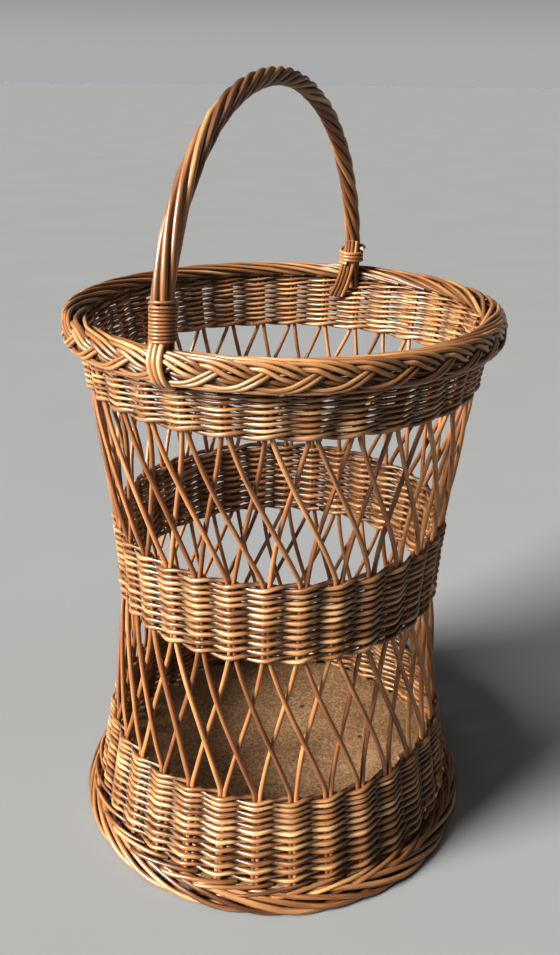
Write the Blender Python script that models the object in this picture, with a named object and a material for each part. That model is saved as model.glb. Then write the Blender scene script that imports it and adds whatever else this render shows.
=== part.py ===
# Wicker log basket: a board base, pairs of willow stakes that cross in two open
# lattices, three woven bands, a foot border, a rim border and a fixed rope handle.
# Metres, +Z up. The origin is on the floor, under the centre of the base board.

import math

import bmesh
import bpy
from mathutils import Vector

GAP = 0.0003  # clearance between solids that touch on the real basket

# Wall: an hourglass, narrowest just above a third of its height
WAIST_RADIUS = 0.1660
WAIST_HEIGHT = 0.289
FOOT_FLARE = 0.2318
FOOT_FLARE_POWER = 1.5
RIM_FLARE = 0.1855
RIM_FLARE_POWER = 1.4
WALL_HALF_THICKNESS = 0.0053

# Heights of the pieces, bottom and top
BOARD_HEIGHTS = (0.0125, 0.0200)
LOWER_BAND_HEIGHTS = (0.0203, 0.1218)
MIDDLE_BAND_HEIGHTS = (0.2766, 0.3560)
UPPER_BAND_HEIGHTS = (0.5086, 0.5500)
RIM_HEIGHTS = (0.5503, 0.5805)

# Stakes: every position holds two rods, joined by a bend under the board
STAKE_POSITIONS = 32
PITCH = 2 * math.pi / STAKE_POSITIONS
LOWER_PHASE = math.radians(6.30)
UPPER_PHASE = math.radians(7.75)
STAKE_RADIUS = 0.0025
PAIR_HALF_SPACING = 0.0028
CROSSING_OFFSET = 0.0028
CROSSING_FRACTIONS = (0.32, 0.69)
BEND_HEIGHT = 0.0085
BAND_CLEARANCE = 0.0025  # height between a band's edge and the first bend of a rod
ROD_SIDES = 5

# Slots that the stake pairs pass through
SLOT_HALF_WIDTH = 0.0057
SLOT_HALF_DEPTH = 0.0030
SLOT_OFFSETS = (-WALL_HALF_THICKNESS, -SLOT_HALF_DEPTH, SLOT_HALF_DEPTH, WALL_HALF_THICKNESS)

# Borders, as closed outlines of (radius, height). The foot has a flat underside,
# a flared outer side and a groove that takes the bends of the stakes. The rim is
# a broad rounded roll over the top of the wall.
RING_SEGMENTS = 48
FOOT_TOP = BOARD_HEIGHTS[0] - GAP
GROOVE_FLOOR = 0.0025
FOOT_OUTLINE = (
    (0.1860, 0.0),
    (0.2150, 0.0),
    (0.2194, 0.0045),
    (0.2170, 0.0105),
    (0.2130, FOOT_TOP),
    (0.2052, FOOT_TOP),
    (0.2052, GROOVE_FLOOR),
    (0.1957, GROOVE_FLOOR),
    (0.1957, FOOT_TOP),
    (0.1860, FOOT_TOP),
)
RIM_OUTLINE = (
    (0.1880, RIM_HEIGHTS[0]),
    (0.2080, RIM_HEIGHTS[0]),
    (0.2130, 0.5580),
    (0.2130, 0.5710),
    (0.2060, RIM_HEIGHTS[1]),
    (0.1930, RIM_HEIGHTS[1]),
    (0.1860, 0.5730),
    (0.1860, 0.5570),
)

# Handle: an arch of six rods twisted round a bow, a little off the centre line
HANDLE_AZIMUTH = math.radians(63.7)
HANDLE_SIDE_OFFSET = 0.0077
HANDLE_SHIFT = -0.0045
HANDLE_HALF_SPAN = 0.1945
HANDLE_FOOT_HEIGHT = 0.5822
HANDLE_RISE = 0.1962
HANDLE_STEPS = 38
BOW_RADIUS = 0.0029
TWISTED_RODS = 6
TWIST_RADIUS = 0.0066
TWISTED_ROD_RADIUS = 0.0028
TWIST_TURNS = -4.0

# Bindings round the two ends of the handle
BINDING_ROD_RADIUS = 0.0013
BINDING_RADIUS = 0.0115
BINDING_PITCH = 0.0031
BINDING_STEPS_PER_TURN = 12
FRONT_BINDING_TURNS = 11
FRONT_BINDING_HEIGHT = 0.5868
BACK_BINDING_TURNS = 3
BACK_BINDING_HEIGHT = 0.5868

# Rods that run from the bindings over the rim: (radius from the axis, height)
FRONT_LEG_COUNT = 3
FRONT_LEG_ROD_RADIUS = 0.0025
FRONT_LEG_SPACING = 0.0054
FRONT_LEG_PATH = (
    (0.2122, 0.5825),
    (0.2162, 0.5730),
    (0.2162, 0.5580),
    (0.2105, 0.5480),
    (0.2045, 0.5435),
)
FRONT_LEG_SWEEP = math.radians(1.5)
BACK_LEG_COUNT = 4
BACK_LEG_ROD_RADIUS = 0.0020
BACK_LEG_SPACING = 0.0044
BACK_LEG_PATH = (
    (0.1768, 0.5840),
    (0.1808, 0.5750),
    (0.1826, 0.5650),
    (0.1834, 0.5540),
    (0.1838, 0.5425),
)
BACK_LEG_SWEEP = math.radians(4.8)


def wall_radius(height):
    """Radius of the middle of the woven wall at a height."""
    if height < WAIST_HEIGHT:
        return WAIST_RADIUS + FOOT_FLARE * (WAIST_HEIGHT - height) ** FOOT_FLARE_POWER
    return WAIST_RADIUS + RIM_FLARE * (height - WAIST_HEIGHT) ** RIM_FLARE_POWER


def polar(radius, azimuth, height):
    return Vector((radius * math.cos(azimuth), radius * math.sin(azimuth), height))


def outward(azimuth):
    return Vector((math.cos(azimuth), math.sin(azimuth), 0.0))


def make_material(name, colour, roughness):
    material = bpy.data.materials.new(name)
    material.use_nodes = True
    shader = material.node_tree.nodes["Principled BSDF"]
    shader.inputs["Base Color"].default_value = (*colour, 1.0)
    shader.inputs["Roughness"].default_value = roughness
    shader.inputs["Metallic"].default_value = 0.0
    material.diffuse_color = (*colour, 1.0)
    return material


def add_object(name, mesh_data, material):
    """Turn a bmesh into a named object with outward faces and its own material."""
    bmesh.ops.recalc_face_normals(mesh_data, faces=mesh_data.faces)
    mesh = bpy.data.meshes.new(name)
    mesh_data.to_mesh(mesh)
    mesh_data.free()
    mesh.shade_smooth()
    mesh.set_sharp_from_angle(angle=math.radians(50))
    mesh.materials.append(material)
    piece = bpy.data.objects.new(name, mesh)
    bpy.context.scene.collection.objects.link(piece)
    return piece


def add_rod(name, points, normals, radius, sides, material):
    """Sweep a round rod along points; each normal steadies the section there."""
    mesh_data = bmesh.new()
    rings = []
    last = len(points) - 1
    for index, point in enumerate(points):
        before = points[max(index - 1, 0)]
        after = points[min(index + 1, last)]
        tangent = (after - before).normalized()
        across = (normals[index] - tangent * normals[index].dot(tangent)).normalized()
        along_side = tangent.cross(across)
        ring = []
        for side in range(sides):
            angle = 2 * math.pi * side / sides
            offset = across * math.cos(angle) + along_side * math.sin(angle)
            ring.append(mesh_data.verts.new(point + offset * radius))
        rings.append(ring)
    for lower, upper in zip(rings, rings[1:]):
        for side in range(sides):
            following = (side + 1) % sides
            mesh_data.faces.new((lower[side], lower[following], upper[following], upper[side]))
    mesh_data.faces.new(rings[0])
    mesh_data.faces.new(rings[-1])
    return add_object(name, mesh_data, material)


def add_turned_ring(name, profile, material):
    """Spin a closed profile of (radius, height) points round the Z axis."""
    mesh_data = bmesh.new()
    rings = []
    for segment in range(RING_SEGMENTS):
        azimuth = 2 * math.pi * segment / RING_SEGMENTS
        rings.append([mesh_data.verts.new(polar(radius, azimuth, height)) for radius, height in profile])
    count = len(profile)
    for segment, ring in enumerate(rings):
        neighbour = rings[(segment + 1) % RING_SEGMENTS]
        for corner in range(count):
            following = (corner + 1) % count
            mesh_data.faces.new((ring[corner], neighbour[corner], neighbour[following], ring[following]))
    return add_object(name, mesh_data, material)


def add_slotted_ring(name, heights, phase, material, filled=False):
    """A band, or the board when filled, with one slot for each pair of stakes.

    Every position has two azimuths, the slot's edges, and four radii there:
    inner face, slot's inner wall, slot's outer wall, outer face.
    """
    mesh_data = bmesh.new()
    columns = []
    for position in range(STAKE_POSITIONS):
        for edge in (-1, 1):
            column = []
            for height in heights:
                middle = wall_radius(height)
                azimuth = phase + position * PITCH + edge * SLOT_HALF_WIDTH / middle
                corners = [polar(middle + offset, azimuth, height) for offset in SLOT_OFFSETS]
                column.append([mesh_data.verts.new(corner) for corner in corners])
            columns.append(column)
    count = len(columns)
    for index, left in enumerate(columns):
        right = columns[(index + 1) % count]
        is_slot = index % 2 == 0
        mesh_data.faces.new((left[0][3], right[0][3], right[1][3], left[1][3]))
        if not filled:
            mesh_data.faces.new((left[0][0], left[1][0], right[1][0], right[0][0]))
        for level in (0, 1):
            near = left[level]
            far = right[level]
            if is_slot:
                mesh_data.faces.new((near[0], near[1], far[1], far[0]))
                mesh_data.faces.new((near[2], near[3], far[3], far[2]))
            else:
                mesh_data.faces.new((*near, *reversed(far)))
        if is_slot:
            mesh_data.faces.new((left[0][1], right[0][1], right[1][1], left[1][1]))
            mesh_data.faces.new((left[0][2], left[1][2], right[1][2], right[0][2]))
            mesh_data.faces.new((left[0][1], left[1][1], left[1][2], left[0][2]))
            mesh_data.faces.new((right[0][1], right[0][2], right[1][2], right[1][1]))
    if filled:
        for level in (0, 1):
            mesh_data.faces.new([column[level][0] for column in columns])
    return add_object(name, mesh_data, material)


def stake_rod_stations(hole, side):
    """Stations (height, azimuth, radial offset) of one rod, from the board to the rim.

    The rod on side +1 of its hole climbs one position to the right on the inside
    of the lower lattice and two to the left on the outside of the upper one.
    The rod on side -1 does the opposite, so both end in the same position.
    """
    middle = hole + 1 if side > 0 else hole - 2
    top = hole - 1
    lower_azimuth = LOWER_PHASE + hole * PITCH
    middle_azimuth = UPPER_PHASE + middle * PITCH
    top_azimuth = UPPER_PHASE + top * PITCH

    def in_band(height, azimuth, direction):
        return height, azimuth + direction * PAIR_HALF_SPACING / wall_radius(height), 0.0

    stations = [in_band(BEND_HEIGHT, lower_azimuth, side)]
    start = in_band(LOWER_BAND_HEIGHTS[1] + BAND_CLEARANCE, lower_azimuth, side)
    end = in_band(MIDDLE_BAND_HEIGHTS[0] - BAND_CLEARANCE, middle_azimuth, -side)
    stations.extend(lattice_stations(start, end, -side))
    start = in_band(MIDDLE_BAND_HEIGHTS[1] + BAND_CLEARANCE, middle_azimuth, -side)
    end = in_band(UPPER_BAND_HEIGHTS[0] - BAND_CLEARANCE, top_azimuth, side)
    stations.extend(lattice_stations(start, end, side))
    stations.append(in_band(UPPER_BAND_HEIGHTS[1] - GAP, top_azimuth, side))
    return stations


def lattice_stations(start, end, layer):
    """Stations across an open lattice; layer +1 passes outside the other rods."""
    stations = [start]
    for fraction in CROSSING_FRACTIONS:
        height = start[0] + fraction * (end[0] - start[0])
        azimuth = start[1] + fraction * (end[1] - start[1])
        stations.append((height, azimuth, layer * CROSSING_OFFSET))
    stations.append(end)
    return stations


def add_stake_pair(hole, material):
    """The two rods of one hole, joined by a half-round bend under the board."""
    left = stake_rod_stations(hole, -1)
    right = stake_rod_stations(hole, 1)
    bend = []
    azimuth = LOWER_PHASE + hole * PITCH
    for angle in (math.radians(225), math.radians(270), math.radians(315)):
        height = BEND_HEIGHT + PAIR_HALF_SPACING * math.sin(angle)
        turn = PAIR_HALF_SPACING * math.cos(angle) / wall_radius(BEND_HEIGHT)
        bend.append((height, azimuth + turn, wall_radius(BEND_HEIGHT) - wall_radius(height)))
    stations = list(reversed(left)) + bend + right
    points = [polar(wall_radius(height) + offset, angle, height) for height, angle, offset in stations]
    normals = [outward(angle) for _, angle, _ in stations]
    name = f"stake_pair_{hole + 1:02d}"
    return add_rod(name, points, normals, STAKE_RADIUS, ROD_SIDES, material)


def handle_frame(angle):
    """Centre, tangent and two normals of the handle's arch; angle 0 is its front foot."""
    along = outward(HANDLE_AZIMUTH)
    across = Vector((-along.y, along.x, 0.0))
    reach = HANDLE_SHIFT - HANDLE_HALF_SPAN * math.cos(angle)
    height = HANDLE_FOOT_HEIGHT + HANDLE_RISE * math.sin(angle)
    centre = along * reach + across * HANDLE_SIDE_OFFSET + Vector((0.0, 0.0, height))
    tangent = along * (HANDLE_HALF_SPAN * math.sin(angle)) + Vector((0.0, 0.0, HANDLE_RISE * math.cos(angle)))
    tangent.normalize()
    return centre, tangent, across.cross(tangent), across


def add_bow(material):
    """The straight-grained rod inside the handle's twist."""
    points = []
    normals = []
    for step in range(HANDLE_STEPS + 1):
        centre, _, normal, _ = handle_frame(math.pi * step / HANDLE_STEPS)
        points.append(centre)
        normals.append(normal)
    return add_rod("handle_bow", points, normals, BOW_RADIUS, ROD_SIDES, material)


def add_twisted_rod(number, material):
    """One of the rods twisted round the bow from foot to foot."""
    points = []
    normals = []
    for step in range(HANDLE_STEPS + 1):
        fraction = step / HANDLE_STEPS
        centre, _, normal, across = handle_frame(math.pi * fraction)
        turn = 2 * math.pi * (number / TWISTED_RODS + TWIST_TURNS * fraction)
        direction = normal * math.cos(turn) + across * math.sin(turn)
        points.append(centre + direction * TWIST_RADIUS)
        normals.append(direction)
    name = f"handle_rod_{number + 1}"
    return add_rod(name, points, normals, TWISTED_ROD_RADIUS, ROD_SIDES, material)


def add_binding(name, from_front, height, turns, material):
    """A thin rod wound round one end of the handle, following the arch."""
    points = []
    normals = []
    steps = turns * BINDING_STEPS_PER_TURN
    for step in range(steps + 1):
        climb = height + BINDING_PITCH * step / BINDING_STEPS_PER_TURN
        angle = math.asin((climb - HANDLE_FOOT_HEIGHT) / HANDLE_RISE)
        if not from_front:
            angle = math.pi - angle
        centre, _, normal, across = handle_frame(angle)
        turn = 2 * math.pi * step / BINDING_STEPS_PER_TURN
        direction = normal * math.cos(turn) + across * math.sin(turn)
        points.append(centre + direction * BINDING_RADIUS)
        normals.append(direction)
    return add_rod(name, points, normals, BINDING_ROD_RADIUS, 4, material)


def add_leg(name, path, azimuth, sweep, radius, material):
    """A rod that runs down over the rim from a binding, turning by sweep."""
    points = []
    normals = []
    top = path[0][1]
    drop = top - path[-1][1]
    for distance, height in path:
        angle = azimuth + sweep * ((top - height) / drop) ** 2
        points.append(polar(distance, angle, height))
        normals.append(Vector((-math.sin(angle), math.cos(angle), 0.0)))
    return add_rod(name, points, normals, radius, ROD_SIDES, material)


def add_legs(name, count, path, spacing, from_front, sweep, radius, material):
    centre = handle_frame(0.0 if from_front else math.pi)[0]
    middle = math.atan2(centre.y, centre.x)
    for number in range(count):
        shift = (number - (count - 1) / 2) * spacing / path[0][0]
        add_leg(f"{name}_{number + 1}", path, middle + shift, sweep, radius, material)


def clear_scene():
    for piece in list(bpy.data.objects):
        bpy.data.objects.remove(piece, do_unlink=True)


def main():
    clear_scene()
    stake_wood = make_material("varnished_stakes", (0.46, 0.22, 0.075), 0.38)
    weave_wood = make_material("varnished_weave", (0.60, 0.33, 0.12), 0.36)
    border_wood = make_material("varnished_border", (0.62, 0.35, 0.13), 0.36)
    handle_wood = make_material("varnished_handle", (0.50, 0.25, 0.085), 0.36)
    binding_wood = make_material("varnished_binding", (0.42, 0.17, 0.05), 0.34)
    board_face = make_material("pressed_board", (0.27, 0.17, 0.085), 0.62)

    add_slotted_ring("base_board", BOARD_HEIGHTS, LOWER_PHASE, board_face, filled=True)
    add_turned_ring("foot_border", FOOT_OUTLINE, border_wood)
    for hole in range(STAKE_POSITIONS):
        add_stake_pair(hole, stake_wood)
    add_slotted_ring("lower_band", LOWER_BAND_HEIGHTS, LOWER_PHASE, weave_wood)
    add_slotted_ring("middle_band", MIDDLE_BAND_HEIGHTS, UPPER_PHASE, weave_wood)
    add_slotted_ring("upper_band", UPPER_BAND_HEIGHTS, UPPER_PHASE, weave_wood)
    add_turned_ring("rim_border", RIM_OUTLINE, border_wood)
    add_bow(handle_wood)
    for number in range(TWISTED_RODS):
        add_twisted_rod(number, handle_wood)
    add_binding("front_binding", True, FRONT_BINDING_HEIGHT, FRONT_BINDING_TURNS, binding_wood)
    add_binding("back_binding", False, BACK_BINDING_HEIGHT, BACK_BINDING_TURNS, binding_wood)
    add_legs("front_leg_rod", FRONT_LEG_COUNT, FRONT_LEG_PATH, FRONT_LEG_SPACING, True,
             FRONT_LEG_SWEEP, FRONT_LEG_ROD_RADIUS, border_wood)
    add_legs("back_leg_rod", BACK_LEG_COUNT, BACK_LEG_PATH, BACK_LEG_SPACING, False,
             BACK_LEG_SWEEP, BACK_LEG_ROD_RADIUS, handle_wood)


main()
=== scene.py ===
import math

import bpy
import numpy as np
from mathutils import Matrix, Vector


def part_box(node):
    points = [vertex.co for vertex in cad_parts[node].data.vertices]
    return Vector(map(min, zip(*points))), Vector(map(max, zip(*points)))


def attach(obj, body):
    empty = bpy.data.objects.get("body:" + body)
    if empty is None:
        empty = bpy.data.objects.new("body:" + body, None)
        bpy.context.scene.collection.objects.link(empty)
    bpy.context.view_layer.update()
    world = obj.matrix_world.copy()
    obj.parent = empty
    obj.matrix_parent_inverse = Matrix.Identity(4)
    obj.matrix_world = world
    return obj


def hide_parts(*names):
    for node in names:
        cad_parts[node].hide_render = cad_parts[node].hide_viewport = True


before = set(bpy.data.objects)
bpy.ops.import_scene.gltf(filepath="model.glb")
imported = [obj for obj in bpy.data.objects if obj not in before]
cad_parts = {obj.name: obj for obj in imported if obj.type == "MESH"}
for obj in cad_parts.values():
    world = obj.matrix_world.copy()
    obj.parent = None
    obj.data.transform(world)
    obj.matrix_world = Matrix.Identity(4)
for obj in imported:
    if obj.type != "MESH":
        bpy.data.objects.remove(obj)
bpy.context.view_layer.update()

random = np.random.default_rng(7)
mm = 0.001

# the wall is an hourglass, with the driving sizes that the frame was made from
wall = dict(
    positions=32, waistRadius=0.1660, waistHeight=0.289,
    footFlare=0.2318, footPower=1.5, rimFlare=0.1855, rimPower=1.4,
    lowerPhase=math.radians(6.30), upperPhase=math.radians(7.75),
    # the basket stands a little out of true: it leans to +X, and its top sags towards +Y
    lean=0.0115, leanHeight=0.30, sag=0.017, sagPower=6, sagHeight=0.58, sagFrom=0.2,
)
pitch = 2 * math.pi / wall["positions"]
lowerBottom, lowerTop = (corner.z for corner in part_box("lower_band"))
middleBottom, middleTop = (corner.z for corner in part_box("middle_band"))
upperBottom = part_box("upper_band")[0].z
rimBottom, rimTop = (corner.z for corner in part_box("rim_border"))
boardBottom, boardTop = (corner.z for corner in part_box("base_board"))


def wallRadius(height):
    below = np.maximum(wall["waistHeight"] - height, 0)
    above = np.maximum(height - wall["waistHeight"], 0)
    return (wall["waistRadius"] + wall["footFlare"] * below ** wall["footPower"]
            + wall["rimFlare"] * above ** wall["rimPower"])


def polar(radius, azimuth, height):
    radius, azimuth, height = np.broadcast_arrays(radius, azimuth, height)
    return np.stack([radius * np.cos(azimuth), radius * np.sin(azimuth), height], -1)


def outward(azimuth):
    return polar(1.0, azimuth, 0.0)


upward = np.array([0.0, 0.0, 1.0])


def unit(vectors):
    return vectors / np.maximum(np.linalg.norm(vectors, axis=-1, keepdims=True), rodShape["smallest"])


def spline(keys, values, at):
    # smooth curve through the values at the keys, for one number or several per key
    keys, values, at = np.asarray(keys, float), np.asarray(values, float), np.asarray(at, float)
    slopes = np.gradient(values, keys, axis=0)
    index = np.clip(np.searchsorted(keys, at, side="right") - 1, 0, len(keys) - 2)
    span = keys[index + 1] - keys[index]
    t = np.clip((at - keys[index]) / span, 0, 1)
    if values.ndim > 1:
        t, span = t[:, None], span[:, None]
    return (values[index] * (1 + 2 * t) * (1 - t) ** 2 + slopes[index] * span * t * (1 - t) ** 2
            + values[index + 1] * t ** 2 * (3 - 2 * t) - slopes[index + 1] * span * t ** 2 * (1 - t))


def wander(count, size, waves=5):
    # a random wave along a rod, about zero; its slow parts are the largest
    x = np.linspace(0, 1, count)
    total = np.zeros(count)
    for wave in range(1, waves + 1):
        total += random.normal() * np.sin(math.pi * wave * x + random.uniform(0, 2 * math.pi)) / wave
    return size * total


# every rod is a dict of points, radii, a steadying normal at each point, painted shades and a tone
rodShape = dict(oval=0.05, grainLength=9.0, groovePower=1.3, seamPower=4, smallest=1e-12)


def rod(points, radii, normals, buried=0.0, groove=0.0, seam=0.0):
    # the three shades are painted shade on the colour: one at each point, one on the side that faces away
    # from the normal, and one on the two sides square to it
    radii, buried = (np.broadcast_to(np.asarray(x, float), (len(points),)) for x in (radii, buried))
    return dict(points=points, radii=radii, normals=normals, buried=buried, groove=groove, seam=seam,
                tone=random.uniform(0, 1))


def rodPiece(name, rods, sides, paint, slot, *nodes):
    # joins rods into one mesh, with attributes that the willow materials read
    angles = 2 * math.pi * np.arange(sides) / sides
    places, grains, tones, cuts, shades, quads, caps, base = [], [], [], [], [], [], [], 0
    for item in rods:
        points, radii = item["points"], item["radii"]
        count = len(points)
        tangents = unit(np.gradient(points, axis=0))
        across = item["normals"] - tangents * np.sum(item["normals"] * tangents, -1, keepdims=True)
        across = unit(across)
        beside = np.cross(tangents, across)
        oval = 1 + rodShape["oval"] * np.cos(2 * angles + random.uniform(0, math.pi))
        ring = (across[:, None] * np.cos(angles)[:, None] + beside[:, None] * np.sin(angles)[:, None])
        ring = points[:, None] + ring * radii[:, None, None] * oval[:, None]
        steps = np.linalg.norm(np.diff(points, axis=0), axis=1)
        along = np.concatenate([[0], np.cumsum(steps)]) + random.uniform(0, rodShape["grainLength"])
        turn = angles + random.uniform(0, 2 * math.pi)
        grain = np.stack(np.broadcast_arrays(
            along[:, None], np.cos(turn)[None] * radii[:, None], np.sin(turn)[None] * radii[:, None]), -1)
        shade = (item["buried"][:, None]
                 + item["groove"] * ((1 - np.cos(angles)) / 2) ** rodShape["groovePower"]
                 + item["seam"] * np.sin(angles) ** rodShape["seamPower"])
        places.append(ring.reshape(-1, 3))
        grains.append(grain.reshape(-1, 3))
        shades.append(shade.ravel())
        tones.append(np.full(count * sides, item["tone"]))
        cuts.append(np.zeros(count * sides))
        row = base + np.arange(count - 1)[:, None] * sides
        side, following = np.arange(sides), (np.arange(sides) + 1) % sides
        corners = [row + side, row + following, row + sides + following, row + sides + side]
        quads.append(np.stack(corners, -1).reshape(-1, 4))
        base += count * sides
        for end in (0, -1):
            places.append(ring[end])
            grains.append(grain[end])
            tones.append(np.full(sides, item["tone"]))
            cuts.append(np.ones(sides))
            shades.append(np.zeros(sides))
            order = np.arange(sides) if end else np.arange(sides)[::-1]
            caps.append(base + order)
            base += sides
    quads = np.concatenate(quads)
    mesh = bpy.data.meshes.new(name)
    mesh.vertices.add(base)
    mesh.vertices.foreach_set("co", np.concatenate(places).ravel())
    mesh.loops.add(quads.size + len(caps) * sides)
    mesh.loops.foreach_set("vertex_index", np.concatenate([quads.ravel(), np.concatenate(caps)]))
    mesh.polygons.add(len(quads) + len(caps))
    starts = np.concatenate([np.arange(len(quads)) * 4, quads.size + np.arange(len(caps)) * sides])
    mesh.polygons.foreach_set("loop_start", starts)
    mesh.polygons.foreach_set("use_smooth", np.arange(len(quads) + len(caps)) < len(quads))
    mesh.update(calc_edges=True)
    mesh.attributes.new("grain", "FLOAT_VECTOR", "POINT").data.foreach_set(
        "vector", np.concatenate(grains).ravel())
    for key, values in (("rodTone", tones), ("cutEnd", cuts), ("buried", shades)):
        mesh.attributes.new(key, "FLOAT", "POINT").data.foreach_set("value", np.concatenate(values))
    addPiece(name, mesh, paint, slot, *nodes)


def addPiece(name, mesh, paint, slot, *nodes):
    # leans and sags the mesh like the whole basket, and puts it in the scene
    places = np.empty(3 * len(mesh.vertices))
    mesh.vertices.foreach_get("co", places)
    places = places.reshape(-1, 3)
    share = np.clip(places[:, 2] / wall["sagHeight"], 0, 1) ** wall["sagPower"]
    places[:, 0] += wall["lean"] * (places[:, 2] - wall["leanHeight"])
    places[:, 2] -= wall["sag"] * share * (places[:, 1] + wall["sagFrom"])
    mesh.vertices.foreach_set("co", places.ravel())
    mesh.update()
    mesh.materials.append(paint)
    piece = bpy.data.objects.new(name, mesh)
    bpy.context.scene.collection.objects.link(piece)
    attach(piece, "root")
    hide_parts(*nodes)


class Wire:
    # a node's output that can be used in a Python sum
    def __init__(self, paint, socket):
        self.paint, self.socket = paint, socket

    def maths(self, operation, first, second):
        return self.paint.node("Math", {"operation": operation}, {0: first, 1: second})

    def __add__(self, other):
        return self.maths("ADD", self, other)

    def __mul__(self, other):
        return self.maths("MULTIPLY", self, other)

    def __sub__(self, other):
        return self.maths("SUBTRACT", self, other)

    def __rsub__(self, other):
        return self.maths("SUBTRACT", other, self)

    __radd__ = __add__
    __rmul__ = __mul__


class Paint:
    # a material; constants go on the shader's own sockets, wires on what varies
    def __init__(self, name, **constants):
        self.material = bpy.data.materials.new(name)
        self.material.use_nodes = True
        self.tree = self.material.node_tree
        self.shader = self.tree.nodes["Principled BSDF"]
        for key, value in constants.items():
            self.shader.inputs[key.replace("_", " ")].default_value = value

    def node(self, kind, settings={}, sockets={}, output=0):
        made = self.tree.nodes.new("ShaderNode" + kind)
        for key, value in settings.items():
            if key == "stops":
                ramp = made.color_ramp.elements
                while len(ramp) < len(value):
                    ramp.new(1)
                for element, (place, colour) in zip(ramp, value):
                    element.position, element.color = place, (*colour, 1)
            else:
                setattr(made, key, value)
        for key, value in sockets.items():
            if isinstance(value, Wire):
                self.tree.links.new(value.socket, made.inputs[key])
            else:
                made.inputs[key].default_value = value
        return Wire(self, made.outputs[output])

    def mix(self, factor, first, second):
        # the colour sockets of a Mix node are its inputs 6 and 7 and its output 2
        return self.node("Mix", {"data_type": "RGBA"}, {0: factor, 6: first, 7: second}, output=2)

    def attribute(self, name, output="Fac"):
        return self.node("Attribute", {"attribute_name": name}, output=output)

    def stretched(self, vector, scale):
        return self.node("VectorMath", {"operation": "MULTIPLY"}, {0: vector, 1: scale})

    def noise(self, vector, scale, detail=2.0, roughness=0.5):
        return self.node("TexNoise", {}, {"Vector": vector, "Scale": scale, "Detail": detail,
                                          "Roughness": roughness})

    def feed(self, **wires):
        for key, wire in wires.items():
            self.tree.links.new(wire.socket, self.shader.inputs[key.replace("_", " ")])
        return self.material


willow = dict(
    dark=(0.080, 0.030, 0.011), brown=(0.215, 0.095, 0.036), honey=(0.41, 0.215, 0.090),
    # of the two darkest colours the knot's is the willow's own; the other colours the rods' painted shade
    # and the board's real marks
    straw=(0.72, 0.49, 0.27), knot=(0.035, 0.014, 0.006), stain=(0.040, 0.013, 0.004),
    cutWood=(0.55, 0.36, 0.18),
    stops=((0.05, "dark"), (0.32, "brown"), (0.58, "honey"), (0.90, "straw")),
    # how much a warmer rod gains or loses of each colour channel
    warmer=(0.2, -0.12, -0.3),
    # each noise: cells in a metre along the grain and both ways across it, detail, roughness
    streak=((30, 900, 900), 3.0, 0.6), blotch=((9, 60, 60), 3.0, 0.55), fibre=((60, 2600, 2600), 2.0, 0.6),
    knotStretch=(14, 190, 190), knotSize=(0.05, 0.13), knotShare=0.75,
    toneSpread=0.28, streakSpread=0.55, blotchSpread=0.75, buriedShare=0.85, cutShare=0.8,
    specular=0.5, coat=0.55, coatRoughness=0.30,
    roughness=0.38, streakRoughness=0.25, knotRoughness=0.2, blotchRoughness=0.15,
    bumpStrength=0.55, bumpDistance=0.22 * mm, fibreBump=0.6, streakBump=0.8, knotBump=0.8,
)


def willowPaint(name, lift=0.0, warmth=0.0, contrast=1.0):
    # varnished willow: each rod has its own tone, with streaks, blotches and knots along it
    paint = Paint(name, Coat_Weight=willow["coat"], Coat_Roughness=willow["coatRoughness"],
                  Specular_IOR_Level=willow["specular"])
    grain = paint.attribute("grain", "Vector")
    tone = paint.attribute("rodTone")
    streak, blotch, fibre = (
        paint.noise(paint.stretched(grain, stretch), 1.0, detail, roughness)
        for stretch, detail, roughness in (willow["streak"], willow["blotch"], willow["fibre"]))
    level = (0.5 + lift + (tone - 0.5) * (willow["toneSpread"] * contrast)
             + (streak - 0.5) * (willow["streakSpread"] * contrast)
             + (blotch - 0.5) * (willow["blotchSpread"] * contrast))
    warm = [1 + warmth * change for change in willow["warmer"]]
    stops = [(place, tuple(channel * factor for channel, factor in zip(willow[key], warm)))
             for place, key in willow["stops"]]
    colour = paint.node("ValToRGB", {"stops": stops}, {0: level})
    knotPlace = paint.stretched(grain, willow["knotStretch"])
    cells = paint.node("TexVoronoi", {}, {"Vector": knotPlace, "Scale": 1.0})
    knotInside, knotOutside = willow["knotSize"]
    knot = paint.node("MapRange", {}, {"Value": cells, "From Min": knotInside, "From Max": knotOutside,
                                       "To Min": willow["knotShare"], "To Max": 0.0})
    colour = paint.mix(knot, colour, (*willow["knot"], 1))
    # painted shade: rods darken towards the dark colour where they lie under others, in grooves and in
    # seams
    colour = paint.mix(paint.attribute("buried") * willow["buriedShare"], colour, (*willow["stain"], 1))
    colour = paint.mix(paint.attribute("cutEnd") * willow["cutShare"], colour, (*willow["cutWood"], 1))
    rough = (willow["roughness"] + (streak - 0.5) * willow["streakRoughness"]
             + knot * willow["knotRoughness"] + (blotch - 0.5) * willow["blotchRoughness"])
    relief = fibre * willow["fibreBump"] + streak * willow["streakBump"] - knot * willow["knotBump"]
    bump = paint.node("Bump", {}, {"Strength": willow["bumpStrength"], "Distance": willow["bumpDistance"],
                                   "Height": relief})
    return paint.feed(Base_Color=colour, Roughness=rough, Normal=bump)


stakePaint = willowPaint("stake_willow", lift=-0.06, warmth=0.25)
weavePaint = willowPaint("weave_willow", lift=0.05, contrast=1.2)
borderPaint = willowPaint("border_willow", lift=-0.01, contrast=1.1)
footPaint = willowPaint("foot_willow", lift=-0.12, contrast=1.35)
handlePaint = willowPaint("handle_willow", lift=-0.09, warmth=0.05, contrast=1.2)
legPaint = willowPaint("leg_willow", lift=0.12)
bindingPaint = willowPaint("binding_willow", lift=0.03, warmth=0.3, contrast=0.8)
print("materials made")


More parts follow.
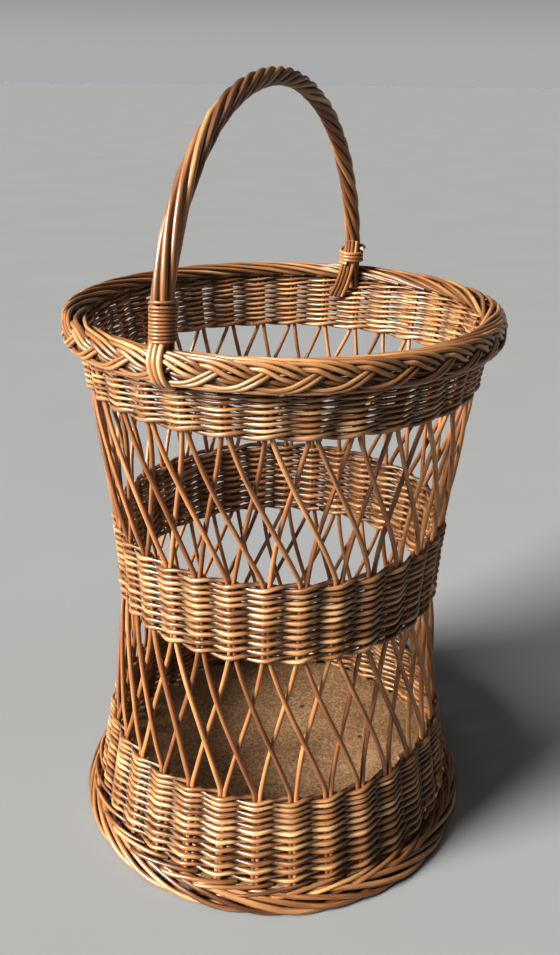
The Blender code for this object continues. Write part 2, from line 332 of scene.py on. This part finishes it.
# stakes: two rods in each hole, crossing in the open lattices
stakes = dict(
    butt=2.75 * mm, tip=2.15 * mm, halfSpacing=2.3 * mm, clearance=1.0 * mm,
    belowBoard=6 * mm, belowRimTop=17 * mm,
    # a pair is twisted in the board and the lower band, and by a share of that in the other bands
    twist=0.9 * mm, bandTwistShare=0.3,
    # in a lattice one rod passes outside the other; ease slows a rod's swing near the lattice's ends
    layerOffset=2.8 * mm, layerPower=4, outerEase=0.10, innerEase=0.22, bow=1.6 * mm,
    waver=0.015, pointsPerBand=8, pointsPerLattice=26, sides=10,
)


def stakeRod(hole, side):
    middle, top = (hole + 1 if side > 0 else hole - 2), hole - 1
    lowerAzimuth = wall["lowerPhase"] + hole * pitch
    middleAzimuth = wall["upperPhase"] + middle * pitch
    topAzimuth = wall["upperPhase"] + top * pitch
    gap = stakes["halfSpacing"]
    heights, azimuths, offsets = [], [], []

    def straight(bottom, height, azimuth, shift, twistShare=stakes["bandTwistShare"]):
        z = np.linspace(bottom, height, stakes["pointsPerBand"])
        heights.append(z)
        azimuths.append(azimuth + shift / wallRadius(z))
        offsets.append(np.full(len(z), np.sign(shift) * stakes["twist"] * twistShare))

    def lattice(bottom, height, start, startShift, end, endShift, layer):
        t = np.linspace(0, 1, stakes["pointsPerLattice"])[1:-1]
        z = bottom + t * (height - bottom)
        first = start + startShift / wallRadius(bottom)
        last = end + endShift / wallRadius(height)
        ease = stakes["outerEase" if layer > 0 else "innerEase"]
        eased = t - ease * np.sin(2 * math.pi * t) / (2 * math.pi)
        bend = random.normal(0, stakes["bow"]) * np.sin(math.pi * t) / wallRadius(z)
        heights.append(z)
        azimuths.append(first + eased * (last - first) + bend)
        offsets.append(layer * stakes["layerOffset"] * (1 - (2 * t - 1) ** stakes["layerPower"]))

    room = stakes["clearance"]
    straight(boardBottom - stakes["belowBoard"], lowerTop + room, lowerAzimuth, side * gap,
             twistShare=1.0)
    lattice(lowerTop + room, middleBottom - room, lowerAzimuth, side * gap,
            middleAzimuth, -side * gap, -side)
    straight(middleBottom - room, middleTop + room, middleAzimuth, -side * gap)
    lattice(middleTop + room, upperBottom - room, middleAzimuth, -side * gap,
            topAzimuth, side * gap, side)
    straight(upperBottom - room, rimTop - stakes["belowRimTop"], topAzimuth, side * gap)
    z, azimuth, offset = (np.concatenate(part) for part in (heights, azimuths, offsets))
    # even out the corners where the rods enter the bands
    for _ in range(2):
        azimuth[1:-1] = (azimuth[:-2] + 2 * azimuth[1:-1] + azimuth[2:]) / 4
        offset[1:-1] = (offset[:-2] + 2 * offset[1:-1] + offset[2:]) / 4
    radii = np.linspace(stakes["butt"], stakes["tip"], len(z)) * (1 + wander(len(z), stakes["waver"]))
    return rod(polar(wallRadius(z) + offset, azimuth, z), radii, outward(azimuth))


for hole in range(wall["positions"]):
    pair = [stakeRod(hole, side) for side in (-1, 1)]
    rodPiece(f"stakes_{hole + 1:02d}", pair, stakes["sides"], stakePaint, "stakes",
             f"stake_pair_{hole + 1:02d}")
print("stakes made")


# bands: rows of pairing, two weavers that cross between the stake pairs
weave = dict(
    rise=1.5 * mm, edgeRise=2.4 * mm, edgeRadius=2.6 * mm, pointsPerPosition=12, sides=8,
    # the odd harmonics of a weaver's wave in and out, and how much thinner it is between the stakes
    harmonics=(1.0, 0.10, 0.02), thinning=0.13, taper=0.08,
    # each waver: size, number of waves
    riseWaver=(0.10, 40), heightWaver=(0.30 * mm, 24), depthWaver=(0.035, 40),
    # steps by which the ends turn in from the wave, from the end on
    tail=(3, 2, 1, 0.4), tailStep=1.1 * mm,
    # painted shade where weavers cross (shade, place on the wave, width) and in the seams between rows
    crossing=(0.75, 0.05, 0.30), seamShade=0.75,
)
# rows run from the bottom edge up; growth makes the lowest rows wider apart than the top ones
bands = dict(
    lower=dict(node="lower_band", bottom=lowerBottom + 8.3 * mm, top=lowerTop - 5.8 * mm, rows=12,
               growth=0.30, radii=(3.3 * mm, 2.65 * mm), phase=wall["lowerPhase"], depth=5.0 * mm),
    middle=dict(node="middle_band", bottom=middleBottom - 1.0 * mm, top=middleTop - 1.6 * mm, rows=11,
                growth=0.16, radii=(2.9 * mm, 2.5 * mm), phase=wall["upperPhase"], depth=5.0 * mm),
    upper=dict(node="upper_band", bottom=upperBottom + 1.6 * mm, top=rimTop - 13 * mm, rows=11,
               growth=0.0, radii=(1.9 * mm, 1.75 * mm), phase=wall["upperPhase"], depth=4.2 * mm),
)


def weaver(height, band, half, radius, rise, start):
    # one weaver all the way round, from behind a stake to behind the same stake
    phase, tail = band["phase"], weave["tail"]
    steps = wall["positions"] * weave["pointsPerPosition"]
    numbers = np.arange(-len(tail), steps + len(tail) + 1)
    azimuth = phase + pitch * (start + numbers / weave["pointsPerPosition"])
    count = len(azimuth)
    turn = math.pi * (azimuth - phase) / pitch + half * math.pi
    wave = sum(part * np.cos((2 * order + 1) * turn) for order, part in enumerate(weave["harmonics"]))
    wave = wave / sum(weave["harmonics"])
    lift = rise * (1 + wander(count, *weave["riseWaver"])) * np.sin(turn)
    z = height + lift + wander(count, *weave["heightWaver"])
    depth = band["depth"] * (1 + wander(count, *weave["depthWaver"]))
    thinned = 1 - weave["thinning"] * np.sin(turn) ** 2
    radii = radius * (1 + weave["taper"] * np.linspace(1, -1, count)) * thinned
    # the ends poke out a little on the inside
    fade = np.zeros(count)
    fade[:len(tail)], fade[-len(tail):] = tail, tail[::-1]
    along = wallRadius(z) + depth * wave - fade * weave["tailStep"]
    shade, place, width = weave["crossing"]
    buried = shade * np.exp(-((wave - place) / width) ** 2)
    return rod(polar(along, azimuth, z), radii, outward(azimuth), buried, seam=weave["seamShade"])


for name, band in bands.items():
    rods = []
    share = np.linspace(0, 1, band["rows"])
    grown = share + band["growth"] * share * (1 - share)
    for row, height in enumerate(band["bottom"] + (band["top"] - band["bottom"]) * grown):
        edge = row == 0 or (row == band["rows"] - 1 and name != "upper")
        radius = weave["edgeRadius"] if edge else float(np.interp(share[row], (0, 1), band["radii"]))
        rise = weave["edgeRise" if edge else "rise"]
        for half in (0, 1):
            # a weaver starts behind a stake, where its wave is at its innermost
            start = 2 * random.integers(0, wall["positions"] // 2) + 1 - half
            rods.append(weaver(height, band, half, radius, rise, start))
    rodPiece(name + "_weave", rods, weave["sides"], weavePaint, "weave", band["node"])
print("bands made")


# rim border: bundles that rise outside, go over the top and fall again
rim = dict(
    rodRadius=2.15 * mm, girthRange=(0.95, 1.07), layer=4.2 * mm, phase=0.35, sides=8,
    girthWaver=0.02, layerWaver=0.12 * mm, positionSpread=0.03, rodSpread=0.012,
    # painted shade on rods where they lie under others, and on each rod's side that faces into the roll
    pointsPerPosition=15, morePoints=8, hiddenShade=0.8, groove=1.0,
    # the way round the roll, as (part, radius, height above its foot): 0 is the bottom outside,
    # 1 the top outside and 2 the inside
    section=((-0.3, 0.2040, 0.0), (0.0, 0.2103, 0.0042), (0.5, 0.2118, 0.0150), (1.0, 0.2080, 0.0276),
             (1.25, 0.2018, 0.0285), (1.5, 0.1960, 0.0270), (1.75, 0.1914, 0.0232), (2.0, 0.1890, 0.0170),
             (2.3, 0.1890, 0.0085)),
    centre=(0.1985, 0.0150),
    # each rod of one position: (positions round the rim, part of the way round the roll, layers down)
    rods=(
        # two that rise along the outside, over the falling rods and under the next ones
        ((-0.6, 0.35, 1.6), (-0.2, 0.1, 1.0), (0.0, 0.0, 0.35), (0.2, -0.01, 0.0), (0.46, -0.03, 0.0),
         (0.86, 0.0, 0.0), (1.26, 0.15, 0.0), (1.56, 0.44, 0.05), (1.74, 0.64, 0.55), (1.88, 0.76, 1.0),
         (2.2, 1.0, 1.3), (2.6, 1.4, 1.3)),
        ((-0.3, 0.5, 1.6), (0.1, 0.25, 1.2), (0.42, 0.12, 0.5), (0.76, 0.10, 0.0), (1.06, 0.20, 0.0),
         (1.36, 0.46, 0.0), (1.60, 0.68, 0.35), (1.74, 0.80, 0.95), (2.1, 1.05, 1.3), (2.5, 1.4, 1.3)),
        # four that come over the top and fall
        ((-2.7, 1.92, 1.3), (-2.2, 1.86, 0.5), (-1.7, 1.75, 0.0), (-1.2, 1.62, 0.0), (-0.6, 1.42, 0.1),
         (-0.10, 1.22, 0.15), (0.36, 1.12, 0.0), (0.86, 0.99, 0.0), (1.30, 0.76, 0.15), (1.5, 0.61, 0.9),
         (1.8, 0.38, 1.2), (2.2, 0.2, 1.4)),
        ((-2.0, 1.85, 1.3), (-1.3, 1.7, 1.1), (-0.7, 1.48, 1.0), (-0.2, 1.2, 0.75), (0.1, 1.02, 0.3),
         (0.46, 0.95, 0.05), (0.86, 0.80, 0.0), (1.2, 0.62, 0.15), (1.38, 0.50, 0.9), (1.7, 0.3, 1.2),
         (2.1, 0.15, 1.4)),
        ((-0.1, 1.05, 1.3), (0.2, 0.84, 1.0), (0.44, 0.79, 0.35), (0.6, 0.745, -0.2), (0.74, 0.67, -0.1),
         (0.9, 0.56, 0.0), (1.08, 0.44, 0.2), (1.24, 0.33, 0.9), (1.55, 0.18, 1.3), (1.9, 0.1, 1.5)),
        ((0.2, 0.75, 1.5), (0.5, 0.52, 1.2), (0.8, 0.34, 0.7), (1.2, 0.20, 1.0), (1.5, 0.12, 1.4)),
    ),
)


def rimRod(keys, start):
    keys = np.array(keys)
    first, last = keys[0, 0], keys[-1, 0]
    at = np.linspace(first, last, int(rim["pointsPerPosition"] * (last - first)) + rim["morePoints"])
    part = spline(keys[:, 0], keys[:, 1], at)
    section = np.array(rim["section"])
    spot = spline(section[:, 0], section[:, 1:], part)
    away = unit(spot - np.array(rim["centre"]))
    down = np.interp(at, keys[:, 0], keys[:, 2])
    down[1:-1] = (down[:-2] + down[1:-1] + down[2:]) / 3
    spot = spot - away * (down * rim["layer"] + wander(len(at), rim["layerWaver"]))[:, None]
    azimuth = wall["upperPhase"] + pitch * (start + at)
    normals = away[:, :1] * outward(azimuth) + away[:, 1:] * upward
    radii = (rim["rodRadius"] * (1 + wander(len(at), rim["girthWaver"]))
             * random.uniform(*rim["girthRange"]))
    return rod(polar(spot[:, 0], azimuth, rimBottom + spot[:, 1]), radii, normals,
               rim["hiddenShade"] * np.clip(down, 0, 1), rim["groove"])


rods = []
for position in range(wall["positions"]):
    shift = random.normal(0, rim["positionSpread"])
    for keys in rim["rods"]:
        rods.append(rimRod(keys, position + rim["phase"] + shift + random.normal(0, rim["rodSpread"])))
rodPiece("rim_plait", rods, rim["sides"], borderPaint, "border", "rim_border")
print("rim border made")


# foot border: the stakes' lower ends, laid round and down to the floor
foot = dict(
    waver=0.6 * mm, girthWaver=0.02, girthRange=(0.88, 1.10), spread=0.05, points=64, sides=10,
    # painted shade: darker over this many positions at a rod's start and end, and on its lower inner side
    hiddenShade=0.8, hiddenStart=0.8, hiddenEnd=0.5, groove=0.95,
    # a rod of each family runs through (positions round the foot, radius, height)
    falling=dict(rodRadius=2.95 * mm, shift=0.0, path=(
        (-0.45, 0.2000, 0.0085), (0.0, 0.2040, 0.0160), (0.35, 0.2068, 0.0196), (0.9, 0.2100, 0.0192),
        (1.6, 0.2134, 0.0160), (2.3, 0.2166, 0.0106), (3.0, 0.2186, 0.0052), (3.5, 0.2178, 0.0034),
        (4.1, 0.2136, 0.0032), (4.7, 0.2070, 0.0032))),
    rising=dict(rodRadius=2.35 * mm, shift=0.3, path=(
        (-1.6, 0.2080, 0.0080), (-1.1, 0.2108, 0.0140), (-0.6, 0.2118, 0.0190), (-0.1, 0.2104, 0.0222),
        (0.4, 0.2072, 0.0228), (0.85, 0.2032, 0.0222), (1.2, 0.1985, 0.0212))),
)


def footRod(start, radius, path):
    keys = np.array(path)
    at = np.linspace(keys[0, 0], keys[-1, 0], foot["points"])
    spot = spline(keys[:, 0], keys[:, 1:], at)
    azimuth = wall["lowerPhase"] + pitch * (start + at)
    height = np.maximum(spot[:, 1] + wander(len(at), foot["waver"]), radius)
    points = polar(spot[:, 0] + wander(len(at), foot["waver"]), azimuth, height)
    fromStart = np.clip(1 - (at - at[0]) / foot["hiddenStart"], 0, 1)
    toEnd = np.clip(1 - (at[-1] - at) / foot["hiddenEnd"], 0, 1)
    hidden = foot["hiddenShade"] * fromStart + foot["hiddenShade"] * toEnd
    radii = radius * (1 + wander(len(at), foot["girthWaver"]))
    return rod(points, radii, outward(azimuth) + upward, hidden, foot["groove"])


rods = []
for family in (foot["falling"], foot["rising"]):
    for position in range(wall["positions"]):
        rods.append(footRod(position + family["shift"] + random.normal(0, foot["spread"]),
                            family["rodRadius"] * random.uniform(*foot["girthRange"]), family["path"]))
rodPiece("foot_plait", rods, foot["sides"], footPaint, "border", "foot_border")
print("foot border made")


board = dict(
    overhang=2.5 * mm, edgeRadius=0.5 * mm, segments=192, specular=0.4,
    # each noise: scale, detail, roughness; the spreads are their shares in the colour's level
    fleck=(620.0, 4.0, 0.7), cloud=(14.0, 4.0, 0.6), chipScale=260.0, chipMiddle=0.4,
    level=0.46, fleckSpread=1.3, chipSpread=0.4, cloudSpread=0.7,
    stops=((0.15, (0.080, 0.042, 0.020)), (0.5, (0.255, 0.160, 0.085)), (0.85, (0.46, 0.32, 0.19))),
    marks=((0.033, 0.092, 0.020), (0.104, 0.033, 0.020)), markRadius=3.2 * mm, markBlur=0.3, markShade=0.8,
    roughness=0.55, fleckRoughness=0.2, bumpStrength=0.4, bumpDistance=0.2 * mm,
)


def boardPaint():
    # pressed board with flecks, and two small dark marks
    paint = Paint("pressed_board", Specular_IOR_Level=board["specular"])
    place = paint.node("TexCoord", output="Object")
    fleck = paint.noise(place, *board["fleck"])
    chip = paint.node("TexVoronoi", {}, {"Vector": place, "Scale": board["chipScale"]})
    cloud = paint.noise(place, *board["cloud"])
    level = (board["level"] + (fleck - 0.5) * board["fleckSpread"]
             + (chip - board["chipMiddle"]) * board["chipSpread"] + (cloud - 0.5) * board["cloudSpread"])
    colour = paint.node("ValToRGB", {"stops": board["stops"]}, {0: level})
    for spot in board["marks"]:
        gap = paint.node("VectorMath", {"operation": "DISTANCE"}, {0: place, 1: spot}, output=1)
        mark = paint.node("MapRange", {}, {
            "Value": gap, "From Min": board["markRadius"] * (1 - board["markBlur"]),
            "From Max": board["markRadius"] * (1 + board["markBlur"]),
            "To Min": board["markShade"], "To Max": 0.0})
        colour = paint.mix(mark, colour, (*willow["stain"], 1))
    bump = paint.node("Bump", {}, {"Strength": board["bumpStrength"], "Distance": board["bumpDistance"],
                                   "Height": fleck})
    rough = board["roughness"] + (fleck - 0.5) * board["fleckRoughness"]
    return paint.feed(Base_Color=colour, Roughness=rough, Normal=bump)


def discMesh(name, rings):
    # a turned body from (radius, height) rings, closed at the axis
    segments = board["segments"]
    azimuth = 2 * math.pi * np.arange(segments) / segments
    places = [polar(radius, azimuth, height) for radius, height in rings]
    mesh = bpy.data.meshes.new(name)
    side, following = np.arange(segments), (np.arange(segments) + 1) % segments
    faces = []
    for row in range(len(rings) - 1):
        below, over = row * segments, (row + 1) * segments
        corners = [below + side, below + following, over + following, over + side]
        faces += np.stack(corners, -1).tolist()
    faces.append(side[::-1].tolist())
    faces.append(((len(rings) - 1) * segments + side).tolist())
    mesh.from_pydata(np.concatenate(places).tolist(), [], faces)
    mesh.update()
    return mesh


boardRadius = float(wallRadius(boardTop)) + board["overhang"]
soft = board["edgeRadius"]
boardMesh = discMesh("board", [
    (boardRadius - soft, boardBottom), (boardRadius, boardBottom + soft),
    (boardRadius, boardTop - soft), (boardRadius - soft, boardTop)])
addPiece("board", boardMesh, boardPaint(), "board", "base_board")
print("board made")


# handle: six rods twisted round a bow
handle = dict(
    azimuth=math.radians(63.14), sideOffset=9.6 * mm, shift=-4.5 * mm, halfSpan=0.1945,
    footHeight=rimTop + 1.7 * mm, rise=0.1992, rods=6, rodShare=0.53, bowShare=0.62,
    # along the arch from the front foot: the rope's twist in turns per metre, and its half width
    twist=((0.0, 0.5), (0.15, 3.0), (0.3, 5.0), (0.5, 9.5), (0.7, 8.0), (0.9, 6.5), (1.0, 5.5)),
    girth=((0.0, 6.9), (0.2, 6.0), (0.5, 5.2), (0.85, 5.6), (1.0, 5.7)),
    # painted shade along the arch's top, on the bow inside the rods, and on each rod's side facing the bow
    topShade=0.4, topPower=4, bowShade=0.8, groove=0.95, depthBelow=0.024, steps=300, sides=12,
    turnSpread=0.04, girthWaver=(0.03, 12), girthRange=(0.95, 1.05),
)
along = np.array([math.cos(handle["azimuth"]), math.sin(handle["azimuth"]), 0.0])
across = np.array([-along[1], along[0], 0.0])


def arch(angle):
    # centre and inward normal of the handle; angle 0 is its front foot
    angle = np.asarray(angle, float)[:, None]
    flat = np.clip(angle, 0, math.pi)
    below = np.minimum(angle, 0) + np.minimum(math.pi - angle, 0)
    centre = (along * (handle["shift"] - handle["halfSpan"] * np.cos(flat)) + across * handle["sideOffset"]
              + upward * (handle["footHeight"] + handle["rise"] * (np.sin(flat) + below)))
    tangent = unit(along * np.sin(flat) * handle["halfSpan"] + upward * np.cos(flat) * handle["rise"])
    return centre, np.cross(across, tangent)


reach = handle["depthBelow"] / handle["rise"]
angles = np.linspace(-reach, math.pi + reach, handle["steps"])
archCentre, archNormal = arch(angles)
archLength = np.concatenate([[0], np.cumsum(np.linalg.norm(np.diff(archCentre, axis=0), axis=1))])
fraction = np.clip(angles / math.pi, 0, 1)
rate = np.interp(fraction, *zip(*handle["twist"]))
turned = np.cumsum((rate[1:] + rate[:-1]) / 2 * np.diff(archLength))
twisted = -2 * math.pi * np.concatenate([[0], turned])
girth = np.interp(fraction, *zip(*handle["girth"])) * mm
topShade = handle["topShade"] * np.sin(math.pi * fraction) ** handle["topPower"]

rods = []
for number in range(handle["rods"]):
    spread = random.normal(0, handle["turnSpread"])
    turn = (twisted + 2 * math.pi * number / handle["rods"] + spread)[:, None]
    direction = archNormal * np.cos(turn) + across * np.sin(turn)
    radii = (girth * handle["rodShare"] * (1 + wander(len(angles), *handle["girthWaver"]))
             * random.uniform(*handle["girthRange"]))
    rods.append(rod(archCentre + direction * girth[:, None], radii, direction, topShade, handle["groove"]))
rods.append(rod(archCentre, girth * handle["bowShare"], archNormal, handle["bowShade"]))
rodPiece("handle_rope", rods, handle["sides"], handlePaint, "handle", "handle_bow",
         *(f"handle_rod_{number + 1}" for number in range(handle["rods"])))
print("handle made")


# bindings: each is one thin rod wound round an end of the handle
# the winding has painted shade on its side that faces the handle
winding = dict(pointsPerTurn=26, waver=(0.12 * mm, 30), flarePower=3, groove=0.9, sides=10)
bindings = dict(
    front=dict(node="front_binding", rodRadius=1.5 * mm, turns=10, looseTurns=0.95,
               bottom=rimTop + 4.6 * mm, pitch=2.87 * mm, loosePitch=1.8 * mm,
               radius=10.6 * mm, shift=0.0, sideShift=-1.5 * mm, flare=0.0),
    back=dict(node="back_binding", rodRadius=1.9 * mm, turns=3, looseTurns=0.80,
              bottom=rimTop + 7.5 * mm, pitch=3.9 * mm, loosePitch=3.5 * mm,
              radius=12.0 * mm, shift=2.6 * mm, sideShift=0.0, flare=7.0 * mm),
)


def windings(name, settings):
    # the last part of the rod stands loose above its turns
    turns = settings["turns"] + settings["looseTurns"]
    turn = np.linspace(0, turns, int(turns * winding["pointsPerTurn"]) + 1)
    loose = np.maximum(turn - settings["turns"], 0)
    climb = settings["bottom"] + settings["pitch"] * turn + settings["loosePitch"] * loose
    angle = np.arcsin((climb - handle["footHeight"]) / handle["rise"])
    centre, normal = arch(angle if name == "front" else math.pi - angle)
    turn = 2 * math.pi * turn[:, None]
    direction = normal * np.cos(turn) + across * np.sin(turn)
    width = (settings["radius"] + settings["flare"] * loose ** winding["flarePower"]
             + wander(len(turn), *winding["waver"]))
    centre = centre + normal * settings["shift"] + across * settings["sideShift"]
    return rod(centre + direction * width[:, None], settings["rodRadius"], direction, 0, winding["groove"])


for name, settings in bindings.items():
    rodPiece(name + "_wrap", [windings(name, settings)], winding["sides"], bindingPaint, "binding",
             settings["node"])

# rods that hold the handle's ends to the rim; a path is (radius from the basket's axis, height above
# the rim's top), and bundle lays the rods' upper ends round the handle
legShape = dict(points=44, girthRange=(0.95, 1.05), sides=12)
legs = dict(
    front=dict(count=3, radius=2.35 * mm, spacing=4.5 * mm, shift=1.2 * mm, sweep=math.radians(2.4),
               node="front_leg_rod", spread=0.0, bundle=-40,
               path=((0.2035, 0.0160), (0.2052, 0.0080), (0.2108, 0.0000), (0.2150, -0.0080),
                     (0.2156, -0.0180), (0.2126, -0.0262), (0.2045, -0.0315))),
    back=dict(count=4, radius=2.05 * mm, spacing=3.5 * mm, shift=-1.6 * mm, sweep=math.radians(5.2),
              node="back_leg_rod", spread=0.25, bundle=70,
              path=((0.1800, 0.0315), (0.1798, 0.0190), (0.1792, 0.0090), (0.1794, 0.0000),
                    (0.1814, -0.0130), (0.1834, -0.0250), (0.1858, -0.0350))),
)
for name, leg in legs.items():
    centre = arch([0.0 if name == "front" else math.pi])[0][0]
    keys = np.array(leg["path"])
    middle = math.atan2(centre[1], centre[0]) + leg["shift"] / keys[0, 0]
    for number in range(leg["count"]):
        at = np.linspace(0, len(keys) - 1, legShape["points"])
        spot = spline(np.arange(len(keys)), keys, at)
        fall = (keys[0, 1] - spot[:, 1]) / (keys[0, 1] - keys[-1, 1])
        beside = (number - (leg["count"] - 1) / 2) * leg["spacing"]
        azimuth = middle + (beside * (1 + leg["spread"] * fall)) / keys[0, 0] + leg["sweep"] * fall ** 2
        spot[:, 0] += leg["bundle"] * (beside + leg["shift"]) ** 2 * (1 - fall) ** 2
        points = polar(spot[:, 0], azimuth, rimTop + spot[:, 1])
        radius = leg["radius"] * random.uniform(*legShape["girthRange"])
        legRod = rod(points, radius, outward(azimuth + math.pi / 2))
        rodPiece(f"{name}_leg_{number + 1}", [legRod], legShape["sides"],
                 legPaint if name == "front" else handlePaint, "binding", f"{leg['node']}_{number + 1}")
print("bindings and legs made")


studio = dict(
    cameraPlace=(0.0, -0.9017, 0.7931), yaw=0.0011, pitchDown=0.4220, roll=0.0108, lens=35.31, sensor=36.0,
    floorColour=(0.275, 0.285, 0.29), floorReach=30.0, floorRoughness=0.85,
    hazeNoise=(3.0, 3.0), hazeShade=0.93, hazeRoughness=0.08,
    worldColour=(0.84, 0.85, 0.86), worldStrength=0.10, horizonStrength=0.45, horizonHeight=0.16,
    sunFrom=(-1.75, -0.85, 1.10), sunColour=(1.0, 0.97, 0.93), sunSpread=math.radians(24), sunStrength=9.0,
    ceilingPlace=(0.0, -0.3, 2.4), ceilingTarget=(0, 0, 0.2), ceilingColour=(1.0, 0.98, 0.95),
    ceilingPower=8, ceilingSize=1.4, exposure=0.35, gamma=0.8,
)

paint = Paint("pale_floor", Specular_IOR_Level=0.0)
haze = paint.noise(paint.node("TexCoord", output="Object"), *studio["hazeNoise"])
hazed = [studio["hazeShade"] * channel for channel in studio["floorColour"]]
shade = paint.mix(haze, (*studio["floorColour"], 1), (*hazed, 1))
paint.feed(Base_Color=shade, Roughness=studio["floorRoughness"] + haze * studio["hazeRoughness"])
floorMesh = bpy.data.meshes.new("floor")
far = studio["floorReach"]
floorMesh.from_pydata([(-far, -far, 0), (far, -far, 0), (far, far, 0), (-far, far, 0)], [], [(0, 1, 2, 3)])
floorMesh.materials.append(paint.material)
floor = bpy.data.objects.new("floor", floorMesh)
bpy.context.scene.collection.objects.link(floor)


def addLight(name, kind, place, target, colour, **settings):
    lamp = bpy.data.lights.new(name, kind)
    lamp.color = colour
    for key, value in settings.items():
        setattr(lamp, key, value)
    light = bpy.data.objects.new(name, lamp)
    light.location = place
    light.rotation_euler = (Vector(target) - Vector(place)).to_track_quat("-Z", "Y").to_euler()
    bpy.context.scene.collection.objects.link(light)


addLight("window", "SUN", studio["sunFrom"], (0, 0, 0), studio["sunColour"],
         energy=studio["sunStrength"], angle=studio["sunSpread"])
addLight("ceiling", "AREA", studio["ceilingPlace"], studio["ceilingTarget"], studio["ceilingColour"],
         energy=studio["ceilingPower"], shape="DISK", size=studio["ceilingSize"])

# the sky is dim overhead and paler towards the horizon
world = bpy.data.worlds.new("studio")
world.use_nodes = True
sky, links = world.node_tree.nodes, world.node_tree.links
backdrop = sky["Background"]
backdrop.inputs["Color"].default_value = (*studio["worldColour"], 1)
direction = sky.new("ShaderNodeSeparateXYZ")
glow = sky.new("ShaderNodeMapRange")
glow.interpolation_type = "SMOOTHSTEP"
glow.inputs["From Max"].default_value = studio["horizonHeight"]
glow.inputs["To Min"].default_value = studio["horizonStrength"]
glow.inputs["To Max"].default_value = studio["worldStrength"]
links.new(sky.new("ShaderNodeTexCoord").outputs["Generated"], direction.inputs[0])
links.new(direction.outputs["Z"], glow.inputs["Value"])
links.new(glow.outputs[0], backdrop.inputs["Strength"])
bpy.context.scene.world = world

yaw, down, roll = studio["yaw"], studio["pitchDown"], studio["roll"]
forward = Vector((math.sin(yaw) * math.cos(down), math.cos(yaw) * math.cos(down), -math.sin(down)))
right = forward.cross(Vector((0, 0, 1))).normalized()
above = right.cross(forward)
rolledRight = right * math.cos(roll) + above * math.sin(roll)
rolledUp = above * math.cos(roll) - right * math.sin(roll)
lens = bpy.data.cameras.new("camera")
lens.sensor_width, lens.lens = studio["sensor"], studio["lens"]
camera = bpy.data.objects.new("camera", lens)
camera.matrix_world = Matrix.Translation(studio["cameraPlace"]) @ Matrix(
    (rolledRight, rolledUp, -forward)).transposed().to_4x4()
bpy.context.scene.collection.objects.link(camera)
bpy.context.scene.camera = camera
view = bpy.context.scene.view_settings
view.view_transform, view.exposure, view.gamma = "Standard", studio["exposure"], studio["gamma"]
print("studio made")
